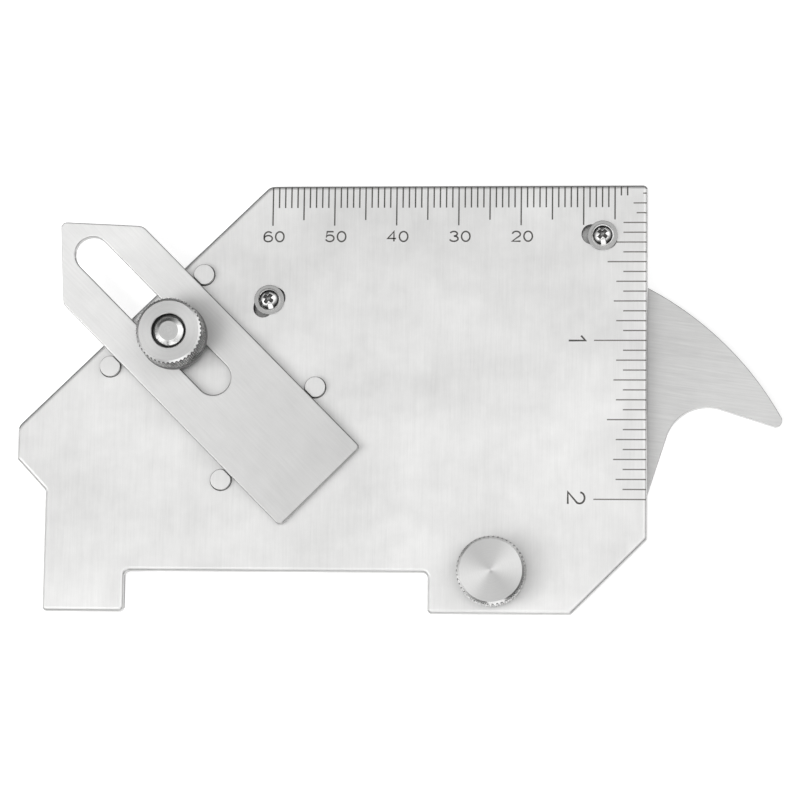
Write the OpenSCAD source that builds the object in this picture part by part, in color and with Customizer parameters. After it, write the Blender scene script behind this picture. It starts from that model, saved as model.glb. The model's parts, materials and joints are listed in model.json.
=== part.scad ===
// Bridge and cam weld gauge, in millimetres. It lies on its back, with the slide blade on top.
// The flat plate stands on two feet over a bridge gap. A blade slides along a stud on the front,
// between four pressed guides. A cam with a hooked finger turns on the back, inside a scale strip.

/* [Body plate] */
// Width of the plate, from its left point to its right edge
body_w = 101; // [98:0.5:112]
// Height of the plate, from the feet to the top edge
body_h = 68.9; // [66:0.1:76]
// Thickness of the plate
body_t = 2; // [1.5:0.1:3]
// Radius on the corners of the plate
corner_r = 0.8; // [0.2:0.1:1.5]
// Distance that the slope at the top left runs along the top edge
slope_run = 40.2; // [36:0.2:42]
// Height that the slope rises from the left point to the top edge
slope_rise = 39.2; // [37:0.2:41]
// Radius at the two ends of the slope
slope_r = 2; // [0.5:0.1:4]
// Height of the short upright edge below the slope
brow_h = 5.3; // [4:0.1:8]
// Distance that the left leg stands in from the left point
step_in = 4.7; // [3:0.1:7]
// Height of the slant from the left point down to the leg
step_h = 5; // [4:0.1:8]
// Width of the left leg
leg_w = 13.2; // [8:0.1:16]
// Width of the bridge gap between the feet
gap_w = 48.4; // [40:0.1:52]
// Height of the bridge gap
gap_h = 6.5; // [5:0.1:9]
// Size of the corner cut at the lower right
chamfer = 12; // [6:0.5:13]

/* [Slide blade] */
// Length of the blade, from its tip to its square end
blade_len = 60.5; // [56:0.5:66]
// Width of the blade
blade_w = 18; // [15:0.1:20]
// Thickness of the blade
blade_t = 1.6; // [1:0.1:2.5]
// Length of the pointed tip
tip_len = 10; // [7:0.5:12]
// Radius on the point of the blade
tip_r = 1; // [0.4:0.1:2]
// Radius where the point meets the long sides
shoulder_r = 2; // [0.5:0.1:4]
// Radius on the two square corners
end_r = 0.8; // [0.2:0.1:3]
// Distance from the tip to the first end centre of the slot
slot_start = 7.5; // [6:0.1:10]
// Distance between the end centres of the slot
slot_run = 28.4; // [20:0.2:32]
// Distance that the middle line of the blade lies off the stud
blade_off = 0.15; // [0:0.05:0.2]
// Distance from the tip to the stud, as the blade is set
blade_set = 26.55; // [20:0.05:30]

/* [Slide guides] */
// Diameter of a pressed guide
guide_d = 3.3; // [2.5:0.1:4]
// Distance from the centre of a guide to its flat
guide_flat = 1.45; // [1:0.05:1.6]
// Height of a guide above the plate
guide_h = 0.9; // [0.4:0.1:1.2]
// Side clearance between the blade and the guides
guide_gap = 0.1; // [0.05:0.05:0.5]
// Distance from the stud back to the upper pair of guides
guide_back = 3.95; // [3:0.05:6]
// Distance from the stud forward to the lower pair of guides
guide_ahead = 21.85; // [15:0.05:24]
// Metal left between the punch mark and the side of a guide
punch_wall = 0.1; // [0.05:0.05:0.3]

/* [Slide stud, washer and nut] */
// Distance from the slope edge in to the stud
stud_in = 7.3; // [7:0.1:12]
// Diameter of the stud
stud_d = 4.8; // [4:0.1:6]
// Diameter of the flat head of the stud, behind the plate
stud_head_d = 9; // [7:0.1:11]
// Width of the chamfer on the end of the stud
stud_chamfer = 0.85; // [0.2:0.05:1.2]
// Height of the chamfer on the end of the stud
stud_crown = 0.4; // [0.2:0.05:1.2]
// Depth of the end of the stud below the face of the nut
stud_sunk = 0.1; // [0:0.1:1.5]
// Side clearance of the stud in the slot of the blade
slot_gap = 0.4; // [0.2:0.05:0.8]
// Outside diameter of the washer under the nut
washer_d = 11; // [10:0.1:14]
// Thickness of the washer under the nut
washer_t = 0.5; // [0.3:0.1:1]
// Outside diameter of the thumb nut
nut_d = 10.7; // [9:0.1:14]
// Height of the thumb nut
nut_h = 5.2; // [4:0.1:8]
// Side clearance of the mouth of the nut around the stud
mouth_gap = 0.36; // [0.2:0.02:0.8]
// Depth of the mouth of the nut
mouth_h = 2; // [1:0.1:3]

/* [Knobs] */
// Outside diameter of the cam knob
knob_d = 11; // [9:0.1:14]
// Size of the chamfer round the face of the nut and of the knob
knob_chamfer = 0.55; // [0.2:0.05:1]
// Size of the chamfer round the foot of the nut and of the knob
knob_foot = 0.25; // [0.1:0.05:0.6]
// Height of the cam knob
cam_knob_h = 5; // [4:0.1:8]
// Metal left above the blind bore of the cam knob
knob_roof = 1.4; // [0.8:0.1:2.5]
// Space left between the pivot stud and the end of the blind bore
bore_end_gap = 0.4; // [0.1:0.1:0.8]

/* [Cam] */
// Distance from the right edge of the plate to the pivot
pivot_in = 24.4; // [20:0.1:28]
// Height of the pivot above the feet
pivot_up = 6.6; // [6.5:0.1:9]
// Diameter of the pivot stud
pivot_d = 5; // [4:0.1:6]
// Side clearance of a turning stud
turn_gap = 0.05; // [0.02:0.01:0.1]
// Thickness of the cam, the scale strip and the stud head
cam_t = 2; // [1.2:0.1:3]
// Metal round the pivot stud
hub_wall = 3.7; // [2.5:0.1:4]
// Height of the finger, from its underside to the top of the cam's arc
finger_h = 15.8; // [12:0.1:20]
// Distance from the pivot to the straight edge of the cam
neck_x = 19.3; // [14:0.1:24]
// Height above the pivot where the straight edge starts
neck_y = 17; // [12:0.5:22]
// Radius inside the hook
hook_r = 6.8; // [4:0.1:9]
// Radius on the point of the finger
finger_r = 1; // [0.5:0.1:2]
// Angle from the left strip screw to the index edge when the cam reads zero
index_in = 1.2; // [0:0.1:4]
// Angle that the cam is set to
cam_set = 18; // [0:1:30]

/* [Scale strip] */
// Width of the scale strip
strip_w = 8.6; // [7:0.1:10]
// Distance from the top edge of the plate to the strip
strip_edge = 1.3; // [0.5:0.1:4]
// Running gap between the cam and the strip
cam_gap = 0.4; // [0.2:0.05:1]
// Clearance between the blade and the washer of the left screw
left_screw_gap = 3.75; // [3.5:0.05:5]
// Distance from the right edge of the plate in to the right screw
right_screw_in = 7.2; // [5:0.1:9]
// Angle that the strip runs on past each screw
strip_end_a = 5.1; // [3:0.1:7]

/* [Strip screws] */
// Diameter of a screw
screw_d = 2; // [1.6:0.1:2.5]
// Diameter of a screw head
head_d = 3.6; // [3.2:0.1:4.6]
// Height of a screw head
head_h = 1.5; // [1.2:0.1:2]
// Height of the straight side of a screw head
head_side = 0.6; // [0.3:0.1:1]
// Width across the cross recess of a screw head
recess_d = 2.2; // [1.8:0.1:2.8]
// Width of an arm of the cross recess
recess_w = 0.55; // [0.4:0.05:0.8]
// Depth of the cross recess below the crown of the head
recess_h = 0.9; // [0.6:0.05:1.1]
// Turn of the cross recess of the left screw
left_recess_a = 55; // [0:1:89]
// Turn of the cross recess of the right screw
right_recess_a = 48; // [0:1:89]
// Depth of the end of a screw inside the strip
screw_sunk = 0.3; // [0.1:0.1:0.8]
// Outside diameter of a screw washer
screw_washer_d = 4.8; // [4.6:0.1:6]
// Thickness of a screw washer
screw_washer_t = 0.3; // [0.2:0.1:0.6]
// Side clearance of a screw in its washer
screw_washer_gap = 0.1; // [0.05:0.05:0.3]
// Side clearance of a screw in its adjusting slot
adjust_gap = 0.55; // [0.2:0.05:0.7]
// Travel that an adjusting slot allows
adjust_run = 2.6; // [1:0.1:3.5]
// Distance that the left slot sits off its screw, along the strip
left_adjust_shift = 0.25; // [0:0.05:0.8]
// Distance that the right slot sits off its screw, along the strip
right_adjust_shift = 0.5; // [0:0.05:0.8]
// Distance that the adjusting slots sit off their screws, towards the pivot
adjust_in = 0.3; // [0:0.05:0.5]

/* [Hidden] */
$fn = 96;
// Steps in a rounded corner of an outline
corner_steps = 6;
// Overrun of a cut past the face it goes through
cut = 1;
// Lap by which an arc and the edge that it runs into cross
lap = 0.01;

// Heights above the surface that the gauge lies on
body_z = cam_t;
front_z = body_z + body_t;
blade_z = front_z + blade_t;
nut_z = blade_z + washer_t;

// Places on the plate, from its top right corner
pivot = [-pivot_in, pivot_up - body_h];
slope_mid = [slope_run / 2 - body_w, -slope_rise / 2];
blade_dir = [1, -1] / sqrt(2);
stud = slope_mid + stud_in * blade_dir;

// Round sizes that follow from a stud and its clearance
slot_w = stud_d + 2 * slot_gap;
nut_bore_d = stud_d + 2 * turn_gap;
mouth_d = stud_d + 2 * mouth_gap;
pivot_bore_d = pivot_d + 2 * turn_gap;
screw_washer_bore_d = screw_d + 2 * screw_washer_gap;
adjust_w = screw_d + 2 * adjust_gap;

// Radii about the pivot
strip_out_r = body_h - pivot_up - strip_edge;
strip_in_r = strip_out_r - strip_w;
screw_r = (strip_in_r + strip_out_r) / 2;
cam_r = strip_in_r - cam_gap;
hub_r = pivot_d / 2 + hub_wall;

// Angles of the two strip screws, seen from the pivot
blade_side = [-blade_dir[1], blade_dir[0]];
blade_edge = blade_w / 2 - blade_off;
left_screw_off = blade_edge + left_screw_gap + screw_washer_d / 2 - (pivot - stud) * blade_side;
left_screw_a = atan2(blade_side[1], blade_side[0]) + acos(left_screw_off / screw_r);
right_screw_a = acos((pivot_in - right_screw_in) / screw_r);
index_a = left_screw_a - index_in;

// Cam outline, about the pivot, with the straight edge upright
hook_y = cam_r - finger_h;
neck = [neck_x, neck_y];
index_end = cam_r * [cos(index_a), sin(index_a)];
finger_c = [sqrt(pow(cam_r - finger_r, 2) - pow(hook_y + finger_r, 2)), hook_y + finger_r];

// The middle of the whole outline, from the plate's top right corner
finger_reach = finger_c[0] * cos(cam_set) + finger_c[1] * sin(cam_set) + finger_r;
middle = [(pivot[0] + finger_reach - body_w) / 2, -body_h / 2];

plate_steel = [0.86, 0.86, 0.85];
blade_steel = [0.80, 0.80, 0.79];
cam_steel = [0.74, 0.74, 0.73];
turned_steel = [0.70, 0.70, 0.69];
screw_steel = [0.78, 0.78, 0.78];

function unit(v) = v / norm(v);
function polar(r, a) = r * [cos(a), sin(a)];

// Points of the arc that rounds corner b, between its neighbours a and c
function corner_arc(a, b, c, r) =
  let (u = unit(a - b), v = unit(c - b), half = acos(u * v) / 2)
  let (centre = b + unit(u + v) * r / sin(half), turn = 180 - 2 * half)
  let (s = b + u * r / tan(half) - centre, e = b + v * r / tan(half) - centre)
  [for (k = [0:corner_steps])
    let (t = k / corner_steps)
    centre + (s * sin((1 - t) * turn) + e * sin(t * turn)) / sin(turn)];

// An outline with one radius for each corner
function rounded(points, radii) =
  let (n = len(points))
  [for (i = [0:n - 1]) each corner_arc(points[(i + n - 1) % n], points[i], points[(i + 1) % n], radii[i])];

// Point where a line from p touches a circle of radius r about the origin, on the given side
function touch(p, r, side) = polar(r, atan2(p[1], p[0]) + side * acos(r / norm(p)));

// Children measured from the plate's top right corner
module from_corner() translate([-middle[0], -middle[1], 0]) children();

// Children measured from the cam pivot
module at_pivot() from_corner() translate(pivot) children();

// Children measured from the slide stud, with +X down along the blade
module along_blade() from_corner() translate(stud) rotate(atan2(blade_dir[1], blade_dir[0])) children();

// Children measured from the blade's middle line beside the stud
module on_blade() along_blade() translate([0, -blade_off, 0]) children();

// Children on a screw of the scale strip, with +Y along the strip's travel
module at_screw(a) at_pivot() rotate(a) translate([screw_r, 0, 0]) children();

// Slot outline with round ends, along +X from the origin
module obround(run, d) {
  circle(d = d);
  translate([0, -d / 2]) square([run, d]);
  translate([run, 0]) circle(d = d);
}

// Round guide outline with a flat towards the blade, which lies on the -Y side
module guide_outline(trim) intersection() {
  circle(d = guide_d - 2 * trim);
  translate([-guide_d, trim - guide_flat]) square(2 * guide_d);
}

// Children at each of the four guides
module at_guides()
  for (x = [-guide_back, guide_ahead], side = [1, -1])
    translate([x, side * (blade_w / 2 + guide_gap + guide_flat)])
      rotate(side > 0 ? 0 : 180) children();

module plate_outline() {
  top = [slope_run - body_w, 0];
  brow = -slope_rise;
  left = -body_w;
  leg_left = left + step_in;
  leg_right = leg_left + leg_w;
  foot_left = leg_right + gap_w;
  points = [
    [0, 0], top, [left, brow], [left, brow - brow_h], [leg_left, brow - brow_h - step_h],
    [leg_left, -body_h], [leg_right, -body_h], [leg_right, gap_h - body_h],
    [foot_left, gap_h - body_h], [foot_left, -body_h], [-chamfer, -body_h], [0, chamfer - body_h]
  ];
  radii = [for (i = [0:len(points) - 1]) i == 1 || i == 2 ? slope_r : corner_r];
  polygon(rounded(points, radii));
}

// Slot that lets a strip screw shift along the strip
module adjust_slot(a, shift)
  at_screw(a) translate([-adjust_in, shift - adjust_run / 2, body_z - cut]) rotate(90)
    linear_extrude(body_t + 2 * cut) obround(adjust_run, adjust_w);

module body_plate() color(plate_steel) difference() {
  union() {
    from_corner() translate([0, 0, body_z]) linear_extrude(body_t) plate_outline();
    on_blade() at_guides() translate([0, 0, front_z - punch_wall])
      linear_extrude(guide_h + punch_wall) guide_outline(0);
  }
  on_blade() at_guides() translate([0, 0, body_z - cut])
    linear_extrude(guide_h + cut) guide_outline(punch_wall);
  along_blade() translate([0, 0, body_z - cut]) cylinder(d = stud_d, h = body_t + 2 * cut);
  at_pivot() translate([0, 0, body_z - cut]) cylinder(d = pivot_bore_d, h = body_t + 2 * cut);
  adjust_slot(left_screw_a, left_adjust_shift);
  adjust_slot(right_screw_a, right_adjust_shift);
}

module blade_outline() {
  side = blade_w / 2;
  points = [[0, 0], [tip_len, side], [blade_len, side], [blade_len, -side], [tip_len, -side]];
  polygon(rounded(points, [tip_r, shoulder_r, end_r, end_r, shoulder_r]));
}

module slide_blade() color(blade_steel) on_blade() translate([-blade_set, 0, front_z])
  linear_extrude(blade_t) difference() {
    blade_outline();
    translate([slot_start, 0]) obround(slot_run, slot_w);
  }

// Headed stud, staked in the plate, that the blade slides along
module slide_stud() color(turned_steel) along_blade() {
  end_z = nut_z + nut_h - stud_sunk;
  cylinder(d = stud_head_d, h = body_z);
  cylinder(d = stud_d, h = end_z - stud_crown);
  translate([0, 0, end_z - stud_crown])
    cylinder(d1 = stud_d, d2 = stud_d - 2 * stud_chamfer, h = stud_crown);
}

module slide_washer() color(turned_steel) along_blade() translate([0, 0, blade_z]) difference() {
  cylinder(d = washer_d, h = washer_t);
  translate([0, 0, -cut]) cylinder(d = nut_bore_d, h = washer_t + 2 * cut);
}

// Turned blank of a nut or knob, with a chamfer round its foot and its face
module knob_blank(d, h) rotate_extrude() polygon([
  [0, 0], [d / 2 - knob_foot, 0], [d / 2, knob_foot],
  [d / 2, h - knob_chamfer], [d / 2 - knob_chamfer, h], [0, h]
]);

module slide_nut() color(turned_steel) along_blade() translate([0, 0, nut_z]) difference() {
  knob_blank(nut_d, nut_h);
  translate([0, 0, -cut]) cylinder(d = nut_bore_d, h = nut_h + 2 * cut);
  translate([0, 0, nut_h - mouth_h]) cylinder(d = mouth_d, h = mouth_h + cut);
}

// Fillet that fills the inside corner of the hook
module hook_fillet() difference() {
  translate([neck_x - cut, hook_y - hook_r]) square(hook_r + cut);
  translate([neck_x + hook_r, hook_y - hook_r]) circle(r = hook_r + lap);
}

// What is cut away outside the rounded point of the finger
module finger_trim() difference() {
  polygon([finger_c, 2 * finger_c, [2 * cam_r, hook_y], [finger_c[0], hook_y - cut]]);
  translate(finger_c) circle(r = finger_r + lap);
}

// Fan between the index edge and the straight edge, with the hook cut into its right side
module cam_outline() {
  far = 2 * cam_r;
  index_root = touch(index_end, hub_r - lap, 1);
  index_far = index_root + 2 * (index_end - index_root);
  circle(r = hub_r);
  difference() {
    intersection() {
      circle(r = cam_r);
      union() {
        polygon([
          touch(neck, hub_r - lap, -1), neck, [neck_x, hook_y], [far, hook_y], [far, far], index_far, index_root
        ]);
        hook_fillet();
      }
    }
    finger_trim();
  }
}

module cam_plate() color(cam_steel) at_pivot() rotate(-cam_set) linear_extrude(cam_t) difference() {
  cam_outline();
  circle(d = pivot_d);
}

// Stud staked flush in the cam, which turns in the plate and carries the cam knob
module cam_stud() color(turned_steel) at_pivot()
  cylinder(d = pivot_d, h = front_z + cam_knob_h - knob_roof - bore_end_gap);

module cam_knob() color(turned_steel) at_pivot() translate([0, 0, front_z]) difference() {
  knob_blank(knob_d, cam_knob_h);
  translate([0, 0, -cut]) cylinder(d = pivot_bore_d, h = cam_knob_h - knob_roof + cut);
}

module scale_strip() color(cam_steel) difference() {
  at_pivot() rotate(right_screw_a - strip_end_a)
    rotate_extrude(angle = left_screw_a - right_screw_a + 2 * strip_end_a)
      translate([strip_in_r, 0]) square([strip_w, cam_t]);
  for (a = [left_screw_a, right_screw_a])
    at_screw(a) translate([0, 0, -cut]) cylinder(d = screw_d, h = cam_t + 2 * cut);
}

// Cross recess that narrows towards its floor, with its mouth at the origin
module cross_recess() translate([0, 0, -recess_h]) intersection() {
  cylinder(d1 = recess_w, d2 = recess_d, h = recess_h);
  union() {
    translate([-recess_d / 2, -recess_w / 2, 0]) cube([recess_d, recess_w, recess_h]);
    translate([-recess_w / 2, -recess_d / 2, 0]) cube([recess_w, recess_d, recess_h]);
  }
}

// Pan head screw that holds the strip from the front, with its recess turned from the plate's long edge
module strip_screw(a, recess_a) color(screw_steel) at_screw(a) {
  seat_z = front_z + screw_washer_t;
  crown = head_h - head_side;
  crown_r = (pow(head_d / 2, 2) + pow(crown, 2)) / (2 * crown);
  translate([0, 0, screw_sunk]) cylinder(d = screw_d, h = seat_z - screw_sunk);
  translate([0, 0, seat_z]) difference() {
    intersection() {
      cylinder(d = head_d, h = head_h);
      translate([0, 0, head_h - crown_r]) sphere(r = crown_r);
    }
    translate([0, 0, head_h]) rotate(recess_a - a) cross_recess();
  }
}

module strip_washer(a) color(screw_steel) at_screw(a) translate([0, 0, front_z]) difference() {
  cylinder(d = screw_washer_d, h = screw_washer_t);
  translate([0, 0, -cut]) cylinder(d = screw_washer_bore_d, h = screw_washer_t + 2 * cut);
}

module strip_screw_left() strip_screw(left_screw_a, left_recess_a);
module strip_screw_right() strip_screw(right_screw_a, right_recess_a);
module strip_washer_left() strip_washer(left_screw_a);
module strip_washer_right() strip_washer(right_screw_a);

body_plate();
slide_blade();
slide_stud();
slide_washer();
slide_nut();
cam_plate();
cam_stud();
cam_knob();
scale_strip();
strip_screw_left();
strip_screw_right();
strip_washer_left();
strip_washer_right();
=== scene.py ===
import json
import math

import bmesh
import bpy
from mathutils import Matrix, Vector


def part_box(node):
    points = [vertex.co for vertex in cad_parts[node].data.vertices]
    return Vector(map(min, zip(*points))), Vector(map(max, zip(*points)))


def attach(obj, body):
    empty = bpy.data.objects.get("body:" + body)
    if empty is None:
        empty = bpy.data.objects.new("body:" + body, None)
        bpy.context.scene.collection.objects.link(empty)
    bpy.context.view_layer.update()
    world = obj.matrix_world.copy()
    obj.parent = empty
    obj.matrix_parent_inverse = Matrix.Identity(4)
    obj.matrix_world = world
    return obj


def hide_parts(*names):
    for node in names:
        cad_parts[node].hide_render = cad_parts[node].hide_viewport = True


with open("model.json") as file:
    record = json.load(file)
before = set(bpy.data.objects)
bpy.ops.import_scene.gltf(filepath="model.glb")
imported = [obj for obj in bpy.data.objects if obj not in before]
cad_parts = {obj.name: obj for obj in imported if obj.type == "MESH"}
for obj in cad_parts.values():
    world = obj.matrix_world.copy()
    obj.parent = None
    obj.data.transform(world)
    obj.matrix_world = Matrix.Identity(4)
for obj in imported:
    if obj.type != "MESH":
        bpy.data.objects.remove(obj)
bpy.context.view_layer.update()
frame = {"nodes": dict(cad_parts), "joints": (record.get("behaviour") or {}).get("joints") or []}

# The look of a flat steel weld gauge that lies on a white table. Sizes are in millimetres and
# become metres where a mesh is made.
MM = 0.001

joints = {joint["name"]: joint for joint in frame["joints"]}
plate_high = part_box("body_plate")[1]
front_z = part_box("slide_blade")[0].z / MM
pivot = Vector(joints["cam_swing"]["pos_m"]) / MM
blade_dir = Vector(joints["blade_slide"]["axis"])


def middle(node):
    """Middle of a node's box, in millimetres."""
    low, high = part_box(node)
    return (low + high) / 2 / MM


# Node helpers

class Graph:
    """A node tree with short calls to add nodes and join sockets."""

    def __init__(self, tree):
        self.tree = tree
        self.tree.nodes.clear()

    def add(self, kind, inputs=None, **settings):
        node = self.tree.nodes.new(kind)
        for key, value in settings.items():
            setattr(node, key, value)
        for key, value in (inputs or {}).items():
            self.feed(node.inputs[key], value)
        return node

    def feed(self, socket, value):
        if isinstance(value, bpy.types.NodeSocket):
            self.tree.links.new(value, socket)
        else:
            socket.default_value = value

    def math(self, operation, a, b=0.0):
        return self.add("ShaderNodeMath", {0: a, 1: b}, operation=operation).outputs[0]

    def dot(self, vector, way):
        return self.add("ShaderNodeVectorMath", {0: vector, 1: way}, operation="DOT_PRODUCT").outputs["Value"]

    def length(self, vector):
        return self.add("ShaderNodeVectorMath", {0: vector}, operation="LENGTH").outputs["Value"]

    def span(self, value, low, high, to_low, to_high):
        values = {"Value": value, "From Min": low, "From Max": high, "To Min": to_low, "To Max": to_high}
        return self.add("ShaderNodeMapRange", values, interpolation_type="SMOOTHSTEP").outputs[0]

    def noise(self, vector, scale, detail=2.0, roughness=0.5):
        values = {"Vector": vector, "Scale": scale, "Detail": detail, "Roughness": roughness}
        return self.add("ShaderNodeTexNoise", values).outputs["Fac"]

    def stretched(self, vector, scale):
        return self.add("ShaderNodeMapping", {"Vector": vector, "Scale": scale}).outputs[0]


def new_material(name):
    material = bpy.data.materials.new(name)
    material.use_nodes = True
    graph = Graph(material.node_tree)
    output = graph.add("ShaderNodeOutputMaterial")
    shader = graph.add("ShaderNodeBsdfPrincipled", {"Metallic": 1.0})
    graph.feed(output.inputs["Surface"], shader.outputs[0])
    return material, graph, shader


def sum_of(graph, start, terms):
    """start plus each noise's swing about its middle."""
    total = start
    for value, swing in terms:
        centred = graph.math("SUBTRACT", value, 0.5)
        total = graph.math("ADD", total, graph.math("MULTIPLY", centred, swing))
    return total


def grey(graph, value, tint):
    """A colour from a brightness and a tint."""
    parts = [graph.math("MULTIPLY", value, part) for part in tint]
    return graph.add("ShaderNodeCombineColor", {0: parts[0], 1: parts[1], 2: parts[2]}).outputs[0]


STEEL_TINT = (1.0, 0.998, 0.99)
INK_TINT = (1.0, 0.95, 0.9)
BRUSH_ANISOTROPY = 0.65
QUARTER_TURN = 0.25
SCRATCH_DEPTH = 0.00002
RING_DEPTH = 0.00001


def brushed_steel(name, tone, rough, turn, streak, cloud, bump, fade=None, metallic=0.74):
    """Steel brushed along a line that is turned from +Y by the given degrees. fade is a way, where
    along it the tone starts and stops to change, in millimetres, and what the tone is multiplied by. Steel
    that is less metallic shows more of a shadow."""
    material, graph, shader = new_material(name)
    shader.inputs["Metallic"].default_value = metallic
    shader.inputs["Anisotropic"].default_value = BRUSH_ANISOTROPY
    across = (math.cos(math.radians(turn)), math.sin(math.radians(turn)), 0)
    tangent = graph.add(
        "ShaderNodeVectorTransform", {0: across}, vector_type="VECTOR",
        convert_from="OBJECT", convert_to="WORLD")
    graph.feed(shader.inputs["Tangent"], tangent.outputs[0])
    place = graph.add("ShaderNodeTexCoord").outputs["Object"]
    turned = graph.add("ShaderNodeMapping", {"Vector": place, "Rotation": (0, 0, math.radians(-turn))})
    turned = turned.outputs[0]
    scratches = graph.noise(graph.stretched(turned, (3400, 150, 900)), 1.0, 3.0, 0.65)
    bands = graph.noise(graph.stretched(turned, (900, 45, 300)), 1.0, 2.0, 0.5)
    clouds = graph.noise(graph.stretched(turned, (1.0, 1.5, 1.0)), 52.0, 2.0, 0.5)
    stains = graph.noise(turned, 240.0, 3.0, 0.6)
    swings = [(scratches, streak), (bands, 0.25 * streak), (clouds, cloud), (stains, 0.6 * cloud)]
    level = sum_of(graph, tone, swings)
    if fade:
        way, start, stop, factor = fade
        change = graph.span(graph.dot(place, way), start * MM, stop * MM, 1.0, factor)
        level = graph.math("MULTIPLY", level, change)
    graph.feed(shader.inputs["Base Color"], grey(graph, level, STEEL_TINT))
    graph.feed(shader.inputs["Roughness"], sum_of(graph, rough, [(scratches, 0.14), (clouds, 0.1)]))
    relief = graph.add(
        "ShaderNodeBump", {"Height": scratches, "Strength": bump, "Distance": SCRATCH_DEPTH})
    graph.feed(shader.inputs["Normal"], relief.outputs[0])
    return material


def turned_steel(name, tone, rough, ring, anisotropy=0.0):
    """Steel turned on a lathe, with fine rings about the piece's own axis."""
    material, graph, shader = new_material(name)
    place = graph.add("ShaderNodeTexCoord").outputs["Object"]
    flat = graph.add("ShaderNodeVectorMath", {0: place, 1: (1, 1, 0)}, operation="MULTIPLY").outputs[0]
    radius = graph.length(flat)
    height = graph.add("ShaderNodeSeparateXYZ", {0: place}).outputs["Z"]
    along = graph.add("ShaderNodeCombineXYZ", {0: radius, 1: height}).outputs[0]
    rings = graph.noise(along, 6000.0, 2.0, 0.6)
    specks = graph.noise(place, 1500.0, 3.0, 0.6)
    level = sum_of(graph, tone, [(rings, ring), (specks, 0.06)])
    graph.feed(shader.inputs["Base Color"], grey(graph, level, STEEL_TINT))
    graph.feed(shader.inputs["Roughness"], sum_of(graph, rough, [(rings, 0.1), (specks, 0.08)]))
    if anisotropy:
        shader.inputs["Anisotropic"].default_value = anisotropy
        shader.inputs["Anisotropic Rotation"].default_value = QUARTER_TURN
        tangent = graph.add("ShaderNodeTangent", direction_type="RADIAL", axis="Z")
        graph.feed(shader.inputs["Tangent"], tangent.outputs[0])
    relief = graph.add("ShaderNodeBump", {"Height": rings, "Strength": 0.1, "Distance": RING_DEPTH})
    graph.feed(shader.inputs["Normal"], relief.outputs[0])
    return material


def plain_steel(name, tone, rough, stain, scale=900.0):
    """Steel with no grain: a soft shine, broken by faint stains."""
    material, graph, shader = new_material(name)
    place = graph.add("ShaderNodeTexCoord").outputs["Object"]
    stains = graph.noise(place, scale, 3.0, 0.6)
    graph.feed(shader.inputs["Base Color"], grey(graph, sum_of(graph, tone, [(stains, stain)]), STEEL_TINT))
    graph.feed(shader.inputs["Roughness"], sum_of(graph, rough, [(stains, 0.1)]))
    return material


def etched_ink(name, tone):
    """Dark brown-grey etching, broken up by the brushing below it."""
    material, graph, shader = new_material(name)
    place = graph.add("ShaderNodeTexCoord").outputs["Object"]
    worn = graph.noise(place, 2600.0, 3.0, 0.7)
    graph.feed(shader.inputs["Base Color"], grey(graph, sum_of(graph, tone, [(worn, 0.06)]), INK_TINT))
    graph.feed(shader.inputs["Roughness"], sum_of(graph, 0.55, [(worn, 0.2)]))
    shader.inputs["Metallic"].default_value = 0.0
    return material


blade_turn = math.degrees(math.atan2(blade_dir.y, blade_dir.x)) - 90
plate_steel = brushed_steel(
    "plate_steel", tone=0.75, rough=0.34, turn=0.0, streak=0.11, cloud=0.24, bump=0.14)
# The blade's tone is multiplied down to 0.73 towards the end that blade_dir points to: painted shade, darker
# towards its lower right end.
blade_steel = brushed_steel(
    "blade_steel", tone=0.75, rough=0.38, turn=blade_turn, streak=0.14, cloud=0.16, bump=0.14,
    fade=(blade_dir, -58.0, 0.0, 0.73), metallic=0.5)
cam_steel = brushed_steel(
    "cam_steel", tone=0.65, rough=0.40, turn=82.0, streak=0.22, cloud=0.12, bump=0.15,
    fade=((1, 0, 0), 40.0, 60.0, 1.08))
# Darker copies of steel for the walls and rounded rims of flat pieces: painted shade, near black where they
# face +Y or sideways, mid-grey where they face -Y, which also dims the front softbox's glint on those rims.
wall_shade_steel = plain_steel("wall_shade_steel", tone=0.26, rough=0.45, stain=0.12)
front_wall_shade_steel = plain_steel("front_wall_shade_steel", tone=0.6, rough=0.45, stain=0.12)
knob_face_steel = turned_steel("knob_face_steel", tone=0.71, rough=0.34, ring=0.14, anisotropy=0.88)
nut_face_steel = turned_steel("nut_face_steel", tone=0.74, rough=0.42, ring=0.12, anisotropy=0.6)
# Paler steel for the chamfers and feet of the knob and nut and for the chamfer round the slide stud's end, so
# that the front softbox's glint on them shows white: painted highlight.
edge_highlight_steel = turned_steel("edge_highlight_steel", tone=0.88, rough=0.2, ring=0.08)
nut_edge_highlight_steel = turned_steel("nut_edge_highlight_steel", tone=0.94, rough=0.34, ring=0.08)
# Knurl crests take a darker steel than the knob faces, speckled at random, and the grooves a near-black one:
# painted shade on the knurled side.
crest_shade_steel = plain_steel("crest_shade_steel", tone=0.52, rough=0.22, stain=1.6, scale=2400.0)
groove_shade_steel = plain_steel("groove_shade_steel", tone=0.08, rough=0.4, stain=0.08)
stud_steel = turned_steel("stud_steel", tone=0.66, rough=0.22, ring=0.18)
# A dark steel for the bores and the nut's mouth: painted shade in these hollows.
bore_shade_steel = plain_steel("bore_shade_steel", tone=0.22, rough=0.5, stain=0.08)
# A near-black steel for the rings round the pressed guides: painted shade.
guide_shade_steel = plain_steel("guide_shade_steel", tone=0.07, rough=0.5, stain=0.05)
screw_steel = plain_steel("screw_steel", tone=0.90, rough=0.12, stain=0.12)
# A dark steel for the screws' cross recesses: painted shade.
recess_shade_steel = plain_steel("recess_shade_steel", tone=0.3, rough=0.35, stain=0.1)
washer_steel = turned_steel("washer_steel", tone=0.5, rough=0.24, ring=0.3)
ink = etched_ink("etched_ink", tone=0.06)
pale_ink = etched_ink("pale_ink", tone=0.15)


# Mesh helpers

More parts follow.
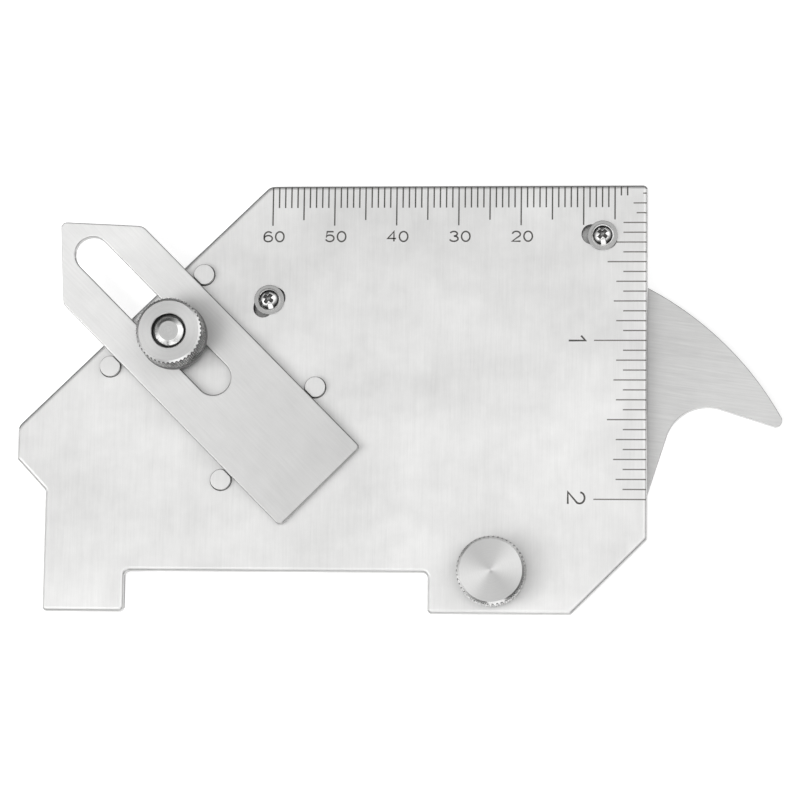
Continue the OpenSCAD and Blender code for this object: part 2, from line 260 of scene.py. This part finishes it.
WELD = 1e-6
FLAT = math.radians(1)
SHARP = math.radians(30)
LEVEL_UP = 0.99
FACE_WEIGHT = 80


def add_piece(name, bm, materials, body, origin=None):
    """Makes a piece from a bmesh, with its origin moved to a given point, and sets it on its body."""
    if origin is not None:
        bmesh.ops.translate(bm, verts=bm.verts, vec=-origin)
    mesh = bpy.data.meshes.new(name)
    bm.to_mesh(mesh)
    bm.free()
    piece = bpy.data.objects.new(name, mesh)
    bpy.context.scene.collection.objects.link(piece)
    if origin is not None:
        piece.location = origin
    for material in materials:
        mesh.materials.append(material)
    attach(piece, body)
    return piece


def smooth(piece, angle):
    """Smooth shading that leaves wide flat faces flat."""
    piece.data.shade_smooth()
    piece.data.set_sharp_from_angle(angle=angle)
    weighted = piece.modifiers.new("even_shading", "WEIGHTED_NORMAL")
    weighted.keep_sharp = True
    weighted.weight = FACE_WEIGHT


def solid_of(node):
    """A CAD solid's surface as a bmesh with whole flat faces."""
    bm = bmesh.new()
    bm.from_mesh(frame["nodes"][node].data)
    bmesh.ops.remove_doubles(bm, verts=bm.verts, dist=WELD)
    bmesh.ops.dissolve_limit(bm, angle_limit=FLAT, verts=bm.verts, edges=bm.edges)
    return bm


def foot_of(node):
    """The point where a turned node's axis meets its foot, in metres."""
    low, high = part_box(node)
    return Vector(((low.x + high.x) / 2, (low.y + high.y) / 2, low.z))


def finish_solid(node, body, materials, edge, steps=3, profile=0.5, turned=False,
                 small=None, small_edge=0.12, zone=None, crease=50):
    """A copy of a CAD solid with its outer edges broken, which stands for that solid. small tells
    which edges, by their middle, are broken less. zone tells which material a face has, and crease from
    which angle on, in degrees, an edge stays sharp."""
    bm = solid_of(node)
    sharp = [e for e in bm.edges if len(e.link_faces) == 2 and e.is_convex and e.calc_face_angle() > SHARP]
    fine = [e for e in sharp if small and small((e.verts[0].co + e.verts[1].co) / 2 / MM)]
    broad = [e for e in sharp if e not in fine]
    for edges, size in ((broad, edge), (fine, small_edge)):
        bmesh.ops.bevel(
            bm, geom=edges, offset=size * MM, segments=steps, profile=profile, affect="EDGES",
            clamp_overlap=False)
    if zone:
        bm.normal_update()
        for face in bm.faces:
            face.material_index = zone(face)
    piece = add_piece(node + "_finished", bm, materials, body, foot_of(node) if turned else None)
    smooth(piece, math.radians(crease))
    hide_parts(node)
    return piece


FACING = 0.2
WALL_UP = 0.4
RIM_UP = 0.86
CHAMFER_UP = (0.2, 0.97)


def cut_wall(face):
    """2 on the walls and rounded rims of a flat piece that face -Y, 1 on those that face +Y and on its other
    walls, 0 elsewhere. Walls and rims take darker copies of the steel by the way they face: painted shade,
    darkest on those that face +Y."""
    up = abs(face.normal.z)
    if face.normal.y < -FACING and up < RIM_UP:
        return 2
    return 1 if up < (RIM_UP if face.normal.y > FACING else WALL_UP) else 0


def slope(face):
    """1 on the chamfer round the end of a stud, 0 elsewhere. The chamfer takes the paler edge steel: painted
    highlight.
    """
    return 1 if CHAMFER_UP[0] < face.normal.z < CHAMFER_UP[1] else 0


def guide_outlines():
    """Outlines of the tops of the pressed guides, which stand highest on the plate."""
    bm = solid_of("body_plate")
    level = [f for f in bm.faces if f.normal.z > LEVEL_UP]
    tops = [f for f in level if f.calc_center_median().z > plate_high.z - WELD]
    outlines = [[v.co / MM for v in f.verts] for f in tops]
    bm.free()
    return outlines


guides = guide_outlines()
guide_middles = [sum(points, Vector()) / len(points) for points in guides]
GUIDE_REACH = 2.4
SCREW_REACH = 5.0
STUD_REACH = 4.0
stud_middles = [middle("slide_stud"), pivot]
screw_middles = [middle("strip_screw_left"), middle("strip_screw_right")]


def on_small_form(point):
    """Whether a place on the plate belongs to a guide, an adjusting slot or a stud's hole."""
    reaches = [(guide_middles, GUIDE_REACH), (screw_middles, SCREW_REACH), (stud_middles, STUD_REACH)]
    return any((point - m).to_2d().length < reach for middles, reach in reaches for m in middles)


RECESS_R = 1.15
RECESS_DEPTH = 0.45
CROWN_UP = 0.8


def recess_of(node):
    """A test that is 1 on the walls and floor of a screw's recess, whose faces take a dark steel as painted
    shade.
    """
    centre = middle(node)
    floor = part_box(node)[1].z / MM - RECESS_DEPTH

    def zone(face):
        at = face.calc_center_median() / MM
        inside = (at - centre).to_2d().length < RECESS_R and at.z > front_z
        return 1 if inside and (face.normal.z < CROWN_UP or at.z < floor) else 0

    return zone


# Walls and rounded rims of these flat pieces take darker steel by the way they face: painted shade.
finish_solid(
    "body_plate", "gauge_body", [plate_steel, wall_shade_steel, front_wall_shade_steel],
    edge=0.75, steps=8, profile=0.55, small=on_small_form, zone=cut_wall)
finish_solid(
    "slide_blade", "blade", [blade_steel, wall_shade_steel, front_wall_shade_steel],
    edge=0.28, steps=5, zone=cut_wall)
finish_solid("cam_plate", "cam", [cam_steel, wall_shade_steel, front_wall_shade_steel], edge=0.2, zone=cut_wall)
finish_solid(
    "scale_strip", "gauge_body", [cam_steel, wall_shade_steel, front_wall_shade_steel], edge=0.2, zone=cut_wall)
# The stud's chamfer takes the paler edge steel: painted highlight.
finish_solid(
    "slide_stud", "gauge_body", [stud_steel, edge_highlight_steel],
    edge=0.06, turned=True, zone=slope, crease=12)
# The slide washer takes the near-black wall steel: painted shade under the nut.
finish_solid("slide_washer", "gauge_body", [wall_shade_steel], edge=0.1, turned=True)
finish_solid("cam_stud", "cam", [stud_steel], edge=0.1, turned=True)
for side in ("left", "right"):
    screw, washer = "strip_screw_" + side, "strip_washer_" + side
    finish_solid(
        screw, "gauge_body", [screw_steel, recess_shade_steel],
        edge=0.06, turned=True, zone=recess_of(screw))
    finish_solid(washer, "gauge_body", [washer_steel], edge=0.08, turned=True)


# Knurled nut and knob

KNURL_TEETH = 46
KNURL_DEPTH = 0.3
KNURL_LAND = 0.2
KNURL_ANGLE = math.radians(30)
TOOTH_STEPS = 10
COLUMNS = KNURL_TEETH * TOOTH_STEPS
CHAMFER_STEPS = 6
KNOB_CHAMFER = 0.55
KNOB_FOOT = 0.25
EDGE_RISE = 0.32
GROOVE_FROM = 0.45
EDGE_LAP = 0.1
KNURL_CREASE = math.radians(24)
FACE, SIDE, BORE, CREST, GROOVE = 0, 1, 2, 3, 4


def flat_edge(drop):
    """How far in a 45 degree chamfer lies, at a drop below the face."""
    return max(0.0, KNOB_CHAMFER - drop)


def low_edge(drop):
    """How far in a 30 degree chamfer lies, at a drop below the face."""
    return max(0.0, KNOB_CHAMFER * (1 - drop / EDGE_RISE))


def groove(t):
    """Depth of a V groove, from 0 on the land between grooves to 1 at its bottom, once per unit of t."""
    off_centre = abs(t % 1.0 - 0.5) * 2
    return max(0.0, 1 - off_centre / (1 - KNURL_LAND))


def knurl_cut(column, z, radius):
    """Depth of the two crossing sets of grooves at a place on the side of a knob."""
    pitch = 2 * math.pi * radius / KNURL_TEETH
    along = column / TOOTH_STEPS
    lean = z * math.tan(KNURL_ANGLE) / pitch
    return KNURL_DEPTH * max(groove(along + lean), groove(along - lean))


def knob_rows(radius, height, edge):
    """Heights of the rings of points on the knurled side."""
    pitch = 2 * math.pi * radius / KNURL_TEETH
    step = pitch / TOOTH_STEPS / math.tan(KNURL_ANGLE)
    rows = {i * step for i in range(1, int(height / step))}
    rise = EDGE_RISE if edge is low_edge else KNOB_CHAMFER
    rows |= {height - rise * k / CHAMFER_STEPS for k in range(1, CHAMFER_STEPS + 1)}
    return sorted(rows | {KNOB_FOOT})


def knurled_knob(node, body, face_material, edge_material, edge, inside):
    """A knob with a diamond knurl. inside is the profile from its face's middle or mouth down to its foot,
    as radius, drop below the face and zone."""
    low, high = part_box(node)
    radius = (high.x - low.x) / 2 / MM
    height = (high.z - low.z) / MM
    bm = bmesh.new()

    def ring(z, limit, knurled=False):
        points = []
        for i in range(COLUMNS):
            r = min(limit, radius - knurl_cut(i, z, radius)) if knurled else limit
            a = 2 * math.pi * i / COLUMNS
            points.append(bm.verts.new((r * math.cos(a) * MM, r * math.sin(a) * MM, z * MM)))
        return points

    def side_zone(*corners):
        r = sum(v.co.to_2d().length for v in corners) / len(corners) / MM
        z = sum(v.co.z for v in corners) / len(corners) / MM
        if radius - r < KNURL_DEPTH * GROOVE_FROM and z < height - KNOB_CHAMFER:
            return CREST
        on_edge = edge(height - z) > radius - r - KNURL_DEPTH * EDGE_LAP
        return SIDE if on_edge or z < KNOB_FOOT else GROOVE

    def skin(corners, zone):
        bm.faces.new(corners).material_index = zone

    def bridge(lower, upper, zone):
        for i in range(COLUMNS):
            j = (i + 1) % COLUMNS
            a, b, c, d = lower[i], lower[j], upper[j], upper[i]
            if zone != SIDE:
                skin((a, b, c, d), zone)
            elif (a.co + c.co).to_2d().length < (b.co + d.co).to_2d().length:
                skin((a, b, c), side_zone(a, b, c))
                skin((a, c, d), side_zone(a, c, d))
            else:
                skin((a, b, d), side_zone(a, b, d))
                skin((b, c, d), side_zone(b, c, d))

    def close(points, z, zone):
        tip = bm.verts.new((0, 0, z * MM))
        for i in range(COLUMNS):
            skin((points[i], points[(i + 1) % COLUMNS], tip), zone)

    foot = ring(0, radius - KNOB_FOOT)
    rows = [foot]
    for z in knob_rows(radius, height, edge):
        rows.append(ring(z, min(radius - KNOB_FOOT + z, radius - edge(height - z)), True))
    rows.append(ring(height, radius - KNOB_CHAMFER))
    for lower, upper in zip(rows, rows[1:]):
        bridge(lower, upper, SIDE)
    last = rows[-1]
    for r, drop, zone in inside:
        z = height - drop
        if r == 0:
            close(last, z, zone)
            last = None
            continue
        points = ring(z, r)
        if last is None:
            close(points, z, zone)
        else:
            bridge(last, points, zone)
        last = points
    floor = ring(0, inside[-1][0])
    bridge(last, floor, BORE)
    bridge(floor, foot, SIDE)
    bmesh.ops.recalc_face_normals(bm, faces=bm.faces)
    # Bores, knurl grooves and crests take darker steel: painted shade.
    materials = [face_material, edge_material, bore_shade_steel, crest_shade_steel, groove_shade_steel]
    piece = add_piece(node + "_knurled", bm, materials, body)
    piece.location = foot_of(node)
    smooth(piece, KNURL_CREASE)
    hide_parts(node)


BORE_GAP = 0.05
MOUTH_GAP = 0.36
MOUTH_DEPTH = 2.0
MOUTH_RIM = 0.1
KNOB_ROOF = 1.4
PIVOT_RADIUS = 2.5
CENTRE_RIM = 0.45
CENTRE_MARK = 0.3
CENTRE_DEPTH = 0.07
STUD_RADIUS = 2.4
mouth_radius = STUD_RADIUS + MOUTH_GAP
knurled_knob("slide_nut", "nut", nut_face_steel, nut_edge_highlight_steel, low_edge, [
    (mouth_radius + MOUTH_RIM, 0, FACE), (mouth_radius, MOUTH_RIM, FACE), (mouth_radius, MOUTH_DEPTH, BORE),
    (STUD_RADIUS + BORE_GAP, MOUTH_DEPTH, BORE)])
knurled_knob("cam_knob", "knob", knob_face_steel, edge_highlight_steel, flat_edge, [
    (CENTRE_RIM, 0, FACE), (CENTRE_MARK, 0, FACE), (0, CENTRE_DEPTH, FACE),
    (PIVOT_RADIUS + BORE_GAP, KNOB_ROOF, BORE)])


# Painted shade: dark rings round the pressed guides, wider on the side towards -X

SHADE_RING_W = 0.1
SHADE_RING_SWELL = 0.05
SHADE_RING_WAY = Vector((-0.9, -0.44, 0))
SHADE_RING_LAP = 0.05
SHADE_RING_TOP = front_z + 0.012
SHADE_RING_FLOOR = front_z - 0.05


def add_ring(bm, inner, outer, low, high):
    """A closed flat ring between two outlines of as many points."""
    loops = [
        [bm.verts.new(Vector((p.x, p.y, z)) * MM) for p in points]
        for points, z in ((inner, low), (outer, low), (outer, high), (inner, high))]
    count = len(inner)
    for a, b in zip(loops, loops[1:] + loops[:1]):
        for i in range(count):
            j = (i + 1) % count
            bm.faces.new((a[i], a[j], b[j], b[i]))


guide_shade_mesh = bmesh.new()
for outline, centre in zip(guides, guide_middles):
    inner = [p - (p - centre).normalized() * SHADE_RING_LAP for p in outline]
    ways = [(p - centre).normalized() for p in outline]
    widths = [SHADE_RING_W + SHADE_RING_SWELL * max(0, way.dot(SHADE_RING_WAY)) for way in ways]
    outer = [p + way * width for p, way, width in zip(outline, ways, widths)]
    add_ring(guide_shade_mesh, inner, outer, SHADE_RING_FLOOR, SHADE_RING_TOP)
bmesh.ops.recalc_face_normals(guide_shade_mesh, faces=guide_shade_mesh.faces)
add_piece("guide_shade_rings", guide_shade_mesh, [guide_shade_steel], "gauge_body")


# Ruled scales

LINE_W = 0.22
MARK_TOP = front_z + 0.008
MARK_FLOOR = front_z - 0.16
EDGE_MARGIN = 0.3
INCH_LINE_W = 0.2
INCH_MARGIN = 0.2
INCH = 25.4
SCALE_ZERO = Vector((39.612, 34.65))
edge_x = plate_high.x / MM
edge_y = plate_high.y / MM


def add_bar(bm, low, high):
    """A flat bar between two corners, in millimetres."""
    middle_point = (Vector(low) + Vector(high)) / 2 * MM
    size = (Vector(high) - Vector(low)) * MM
    bmesh.ops.create_cube(bm, size=1, matrix=Matrix.Translation(middle_point) @ Matrix.Diagonal((*size, 1)))


def millimetre_length(n):
    if n < 5:
        return 1.75
    if n % 10 == 0:
        return 6.55
    return 5.65 if n % 5 == 0 else 3.65


def inch_length(k):
    near_corner = {1: 0.8, 2: 2.3, 3: 1.8, 4: 3.9, 5: 3.9, 6: 5.0}
    if k in near_corner:
        return near_corner[k]
    for step, length in ((16, 8.5), (8, 6.4), (4, 5.4), (2, 5.0)):
        if k % step == 0:
            return length
    return 3.9


marks = bmesh.new()
for n in range(3, 61):
    x = SCALE_ZERO.x - n
    add_bar(
        marks, (x - LINE_W / 2, edge_y - millimetre_length(n), MARK_FLOOR),
        (x + LINE_W / 2, edge_y - EDGE_MARGIN, MARK_TOP))
add_piece("scale_marks", marks, [ink], "gauge_body")
inch_marks = bmesh.new()
for k in range(1, 33):
    y = SCALE_ZERO.y - INCH / 16 * k
    add_bar(
        inch_marks, (edge_x - inch_length(k), y - INCH_LINE_W / 2, MARK_FLOOR),
        (edge_x - INCH_MARGIN, y + INCH_LINE_W / 2, MARK_TOP))
add_piece("inch_marks", inch_marks, [pale_ink], "gauge_body")


# Numerals, as strokes in a box of width 1 and height 1

def arc(x, y, rx, ry, start, end, steps=14):
    """Points along part of an ellipse, between two angles in degrees."""
    turns = [math.radians(start + (end - start) * k / steps) for k in range(steps + 1)]
    return [(x + rx * math.cos(t), y + ry * math.sin(t)) for t in turns]


STROKES = {
    "0": [arc(0.5, 0.5, 0.5, 0.5, 90, 450, 28)],
    "1": [[(0.62, 0), (0.62, 1), (0.2, 0.74)]],
    "2": [arc(0.49, 0.7, 0.47, 0.3, 172, -32) + [(0, 0), (1, 0)]],
    "3": [arc(0.47, 0.765, 0.42, 0.235, 165, -90), arc(0.48, 0.265, 0.5, 0.265, 90, -165)],
    "4": [[(0.74, 0), (0.74, 1), (0, 0.3), (1, 0.3)]],
    "5": [[(0.93, 1), (0.17, 1), (0.08, 0.5)] + arc(0.48, 0.33, 0.5, 0.33, 140, -162)],
    "6": [arc(0.51, 0.31, 0.49, 0.31, -90, 270, 24), arc(0.55, 0.5, 0.53, 0.5, 48, 200)],
}


MITRE_LIMIT = 0.5


def add_ribbon(bm, points, width, place):
    """A flat strip along a line of points. place puts a point of the strip in space, at its foot for a level
    of 0 and at its top for 1."""
    points = [Vector(p) for p in points]
    closed = (points[0] - points[-1]).length < WELD
    if closed:
        points.pop()
    count = len(points)
    corners = []
    for i, p in enumerate(points):
        before = points[i - 1] if i or closed else p
        after = points[(i + 1) % count] if i + 1 < count or closed else p
        ways = [(b - a).normalized() for a, b in ((before, p), (p, after)) if (b - a).length > WELD]
        normals = [Vector((-w.y, w.x)) for w in ways]
        across = sum(normals, Vector((0, 0))).normalized()
        reach = width / 2 / max(MITRE_LIMIT, across.dot(normals[0]))
        sides = (p + across * reach, p - across * reach)
        around = zip((*sides, *sides[::-1]), (1, 1, 0, 0))
        corners.append([bm.verts.new(place(side, level)) for side, level in around])
    for i in range(count if closed else count - 1):
        a, b = corners[i], corners[(i + 1) % count]
        for k in range(4):
            bm.faces.new((a[k], a[(k + 1) % 4], b[(k + 1) % 4], b[k]))
    if not closed:
        bm.faces.new(corners[0])
        bm.faces.new(corners[-1])


def add_numeral(bm, words, width, height, stroke, place, gap=0.28):
    """Digits in a row about the origin of place, each of the given size over its strokes."""
    row = len(words) * width + (len(words) - 1) * gap
    for i, digit in enumerate(words):
        left = i * (width + gap) - row / 2 + stroke / 2
        low = (stroke - height) / 2
        for line in STROKES[digit]:
            fitted = [(left + x * (width - stroke), low + y * (height - stroke)) for x, y in line]
            add_ribbon(bm, fitted, stroke, place)


def on_front(x, y, turn=0.0):
    """Place of a point about (x, y) on the plate's front, turned by the given degrees."""
    spin = Matrix.Rotation(math.radians(turn), 2)

    def place(point, level):
        at = spin @ point
        return Vector((x + at.x, y + at.y, MARK_TOP if level else MARK_FLOOR)) * MM

    return place


NUMERAL_DROP = 8.35
NUMERAL_SHIFT = 0.2
NUMERAL_SIZE = (1.6, 1.86, 0.25)
INCH_NUMERAL_IN = 11.2
INCH_NUMERAL_SIZE = (2.2, 2.95, 0.3)
numerals = bmesh.new()
for n in range(20, 61, 10):
    spot = on_front(SCALE_ZERO.x - n + NUMERAL_SHIFT, edge_y - NUMERAL_DROP)
    add_numeral(numerals, str(n), *NUMERAL_SIZE, spot)
for inch in (1, 2):
    spot = on_front(edge_x - INCH_NUMERAL_IN, SCALE_ZERO.y - INCH * inch + NUMERAL_SHIFT, turn=-90)
    add_numeral(numerals, str(inch), *INCH_NUMERAL_SIZE, spot)
bmesh.ops.recalc_face_normals(numerals, faces=numerals.faces)
add_piece("scale_numerals", numerals, [ink], "gauge_body")


# Degree scale on the back of the strip

INDEX_IN = 1.2
DEGREES = 60
STRIP_EDGE_GAP = 0.3
MARK_RISE = 0.008
MARK_SINK = 0.032
DEGREE_NUMERAL_OUT = 2.8
DEGREE_NUMERAL_SIZE = (1.2, 1.5, 0.2)
DEGREE_NUMERAL_GAP = 0.22
STRIP_HALF_W = 4.3
left_screw = screw_middles[0] - pivot
zero_angle = math.degrees(math.atan2(left_screw.y, left_screw.x)) - INDEX_IN
strip_mid_r = left_screw.to_2d().length


def on_back(angle, radius):
    """Place of a point on the strip's back, with its top away from the pivot, seen from below."""
    out = Vector((math.cos(math.radians(angle)), math.sin(math.radians(angle))))
    across = Vector((-out.y, out.x))

    def place(point, level):
        at = pivot.to_2d() + out * (radius + point.y) + across * point.x
        return Vector((at.x, at.y, -MARK_RISE if level else MARK_SINK)) * MM

    return place


def degree_length(n):
    if n % 10 == 0:
        return 3.0
    return 2.4 if n % 5 == 0 else 1.6


degree_marks = bmesh.new()
degree_numerals = bmesh.new()
inner_r = strip_mid_r - STRIP_HALF_W + STRIP_EDGE_GAP
for n in range(DEGREES + 1):
    angle = zero_angle - n
    add_ribbon(degree_marks, [(0, 0), (0, degree_length(n))], LINE_W, on_back(angle, inner_r))
    if n % 10 == 0:
        spot = on_back(angle, strip_mid_r + DEGREE_NUMERAL_OUT)
        add_numeral(degree_numerals, str(n), *DEGREE_NUMERAL_SIZE, spot, gap=DEGREE_NUMERAL_GAP)
for name, bm in (("degree_marks", degree_marks), ("degree_numerals", degree_numerals)):
    bmesh.ops.recalc_face_normals(bm, faces=bm.faces)
    add_piece(name, bm, [ink], "gauge_body")


# Table, light and camera

TABLE_RADIUS = 4.0
TABLE_SIDES = 96
TABLE_DROP = 0.00002
TABLE_TONE = 0.5
TABLE_GLOW = 0.72
MIRROR_NEAR = 0.08
MIRROR_FAR = 0.2
MIRROR_DIM = 0.3


def white_table():
    """A white table top that stays white to the eye and in reflections, and keeps the shadow."""
    bm = bmesh.new()
    bmesh.ops.create_circle(bm, cap_ends=True, segments=TABLE_SIDES, radius=TABLE_RADIUS)
    mesh = bpy.data.meshes.new("table")
    bm.to_mesh(mesh)
    bm.free()
    table = bpy.data.objects.new("table", mesh)
    table.location.z = -TABLE_DROP
    bpy.context.scene.collection.objects.link(table)
    material = bpy.data.materials.new("table_white")
    material.use_nodes = True
    graph = Graph(material.node_tree)
    output = graph.add("ShaderNodeOutputMaterial")
    matt = graph.add("ShaderNodeBsdfDiffuse", {"Color": (TABLE_TONE, TABLE_TONE, TABLE_TONE, 1)})
    path = graph.add("ShaderNodeLightPath").outputs
    place = graph.add("ShaderNodeTexCoord").outputs["Object"]
    nearby = graph.span(graph.length(place), MIRROR_NEAR, MIRROR_FAR, 1.0, MIRROR_DIM)
    mirrored = graph.math("MULTIPLY", path["Is Glossy Ray"], nearby)
    seen = graph.math("MAXIMUM", path["Is Camera Ray"], mirrored)
    seen = graph.math("MAXIMUM", seen, path["Is Transmission Ray"])
    strength = graph.math("MULTIPLY", seen, TABLE_GLOW)
    glow = graph.add("ShaderNodeEmission", {"Color": (1, 1, 1, 1), "Strength": strength})
    both = graph.add("ShaderNodeAddShader", {0: matt.outputs[0], 1: glow.outputs[0]})
    graph.feed(output.inputs["Surface"], both.outputs[0])
    mesh.materials.append(material)


ROOM_TURN = 14
CEILING_FRONT = 1.17
CEILING_BACK = 0.56
CEILING_REACH = (-0.2, 0.5)
CEILING_HEIGHT = (0.6, 0.88)
WALL_DIM = 0.16
WALL_BRIGHT = 0.75
WALL_REACH = (0.4, 0.95)
SKIRTING_LEVEL = 0.06
SKIRTING_HEIGHT = (0.2, 0.55)
KEY_AZIMUTH = 200
KEY_ELEVATION = 62
KEY_LEVEL = 0.15
KEY_REACH = (0.93, 0.985)
SIDE_LEVEL = 0.65
SIDE_RIGHT = (0.08, 0.5)
SIDE_LEFT = (-0.6, -0.22)
SIDE_HEIGHT = (0.4, 0.7)
SLANT_WAY = (-0.5, 0.866, 0)
SLANT_LEVEL = 0.6
SLANT_REACH = (0.15, 0.5)


def way_of(azimuth, elevation):
    """A direction from its azimuth and elevation in degrees."""
    a, e = math.radians(azimuth), math.radians(elevation)
    return Vector((math.cos(a) * math.cos(e), math.sin(a) * math.cos(e), math.sin(e)))


def studio_world():
    """A room turned by ROOM_TURN degrees, with a ceiling that is brighter in front, bright walls to the left
    and right, dim ones in front and behind, and a dark skirting. A patch high on the left is brighter, and
    both ends of the diagonal from back left to front right are darker. Front is -Y and left is -X. Each
    reach and height above bounds a part of a unit direction."""
    world = bpy.data.worlds.new("studio")
    bpy.context.scene.world = world
    world.use_nodes = True
    graph = Graph(world.node_tree)
    where = graph.add("ShaderNodeTexCoord").outputs["Generated"]
    turn = math.radians(-ROOM_TURN)
    room = graph.add("ShaderNodeVectorRotate", {"Vector": where, "Angle": turn}, rotation_type="Z_AXIS")
    way = graph.add("ShaderNodeSeparateXYZ", {0: room.outputs[0]}).outputs
    x2 = graph.math("MULTIPLY", way["X"], way["X"])
    y2 = graph.math("MULTIPLY", way["Y"], way["Y"])
    sideways = graph.math("DIVIDE", x2, graph.math("ADD", graph.math("ADD", x2, y2), 1e-4))
    wall = graph.span(sideways, *WALL_REACH, WALL_DIM, WALL_BRIGHT)
    wall = graph.math("MULTIPLY", wall, graph.span(way["Z"], *SKIRTING_HEIGHT, SKIRTING_LEVEL, 1.0))
    ceiling = graph.span(way["Y"], *CEILING_REACH, CEILING_FRONT, CEILING_BACK)
    above = graph.span(way["Z"], *CEILING_HEIGHT, 0.0, 1.0)
    level = graph.add("ShaderNodeMix", {"Factor": above, 2: wall, 3: ceiling}, data_type="FLOAT").outputs[0]
    near_key = graph.dot(where, way_of(KEY_AZIMUTH, KEY_ELEVATION))
    level = graph.math("ADD", level, graph.span(near_key, *KEY_REACH, 0.0, KEY_LEVEL))
    to_right = graph.span(way["X"], *SIDE_RIGHT, 0.0, SIDE_LEVEL)
    to_left = graph.span(way["X"], *SIDE_LEFT, SIDE_LEVEL, 0.0)
    sides = graph.math("ADD", to_right, to_left)
    sides = graph.math("MULTIPLY", sides, graph.span(way["Z"], *SIDE_HEIGHT, 0.0, 1.0))
    level = graph.math("ADD", level, sides)
    slant = graph.math("ABSOLUTE", graph.dot(where, SLANT_WAY))
    level = graph.math("MULTIPLY", level, graph.span(slant, *SLANT_REACH, 1.0, SLANT_LEVEL))
    eye = graph.add("ShaderNodeLightPath").outputs["Is Camera Ray"]
    strength = graph.add("ShaderNodeMix", {"Factor": eye, 2: level, 3: 1.0}, data_type="FLOAT").outputs[0]
    sky = graph.add("ShaderNodeBackground", {"Color": (1, 1, 1, 1), "Strength": strength})
    graph.add("ShaderNodeOutputWorld", {"Surface": sky.outputs[0]})


def softbox(name, azimuth, elevation, distance, width, height, radiance):
    """A rectangular light that faces the gauge, with its brightness as seen in a mirror."""
    lamp = bpy.data.lights.new(name, "AREA")
    lamp.shape = "RECTANGLE"
    lamp.size = width
    lamp.size_y = height
    lamp.energy = radiance * math.pi * width * height
    light = bpy.data.objects.new(name, lamp)
    light.location = way_of(azimuth, elevation) * distance
    light.rotation_euler = (-light.location).to_track_quat("-Z", "Y").to_euler()
    bpy.context.scene.collection.objects.link(light)
    return light


white_table()
studio_world()
softbox(
    "front_softbox", azimuth=-80, elevation=27, distance=0.5, width=0.32, height=0.46, radiance=1.1)
key = softbox(
    "key_softbox", azimuth=200, elevation=46, distance=0.6, width=0.34, height=0.34, radiance=8.5)
key.visible_glossy = False

CAMERA_PLACE = Vector((41.344, -66.468, 498.132)) * MM
CAMERA_TARGET = Vector((0.52, -0.386, 4.0)) * MM
CAMERA_ROLL = math.radians(-0.7486)
CAMERA_LENS = 141.18
CAMERA_NEAR = 0.01
camera_data = bpy.data.cameras.new("camera")
camera_data.lens = CAMERA_LENS
camera_data.clip_start = CAMERA_NEAR
camera = bpy.data.objects.new("camera", camera_data)
forward = (CAMERA_TARGET - CAMERA_PLACE).normalized()
up = (Vector((0, 1, 0)) - forward * forward.y).normalized()
right = forward.cross(up)
up = up * math.cos(CAMERA_ROLL) + right * math.sin(CAMERA_ROLL)
right = forward.cross(up)
camera.matrix_world = Matrix.Translation(CAMERA_PLACE) @ Matrix((right, up, -forward)).transposed().to_4x4()
bpy.context.scene.collection.objects.link(camera)
bpy.context.scene.camera = camera
bpy.context.scene.view_settings.view_transform = "Standard"

bpy.context.view_layer.update()
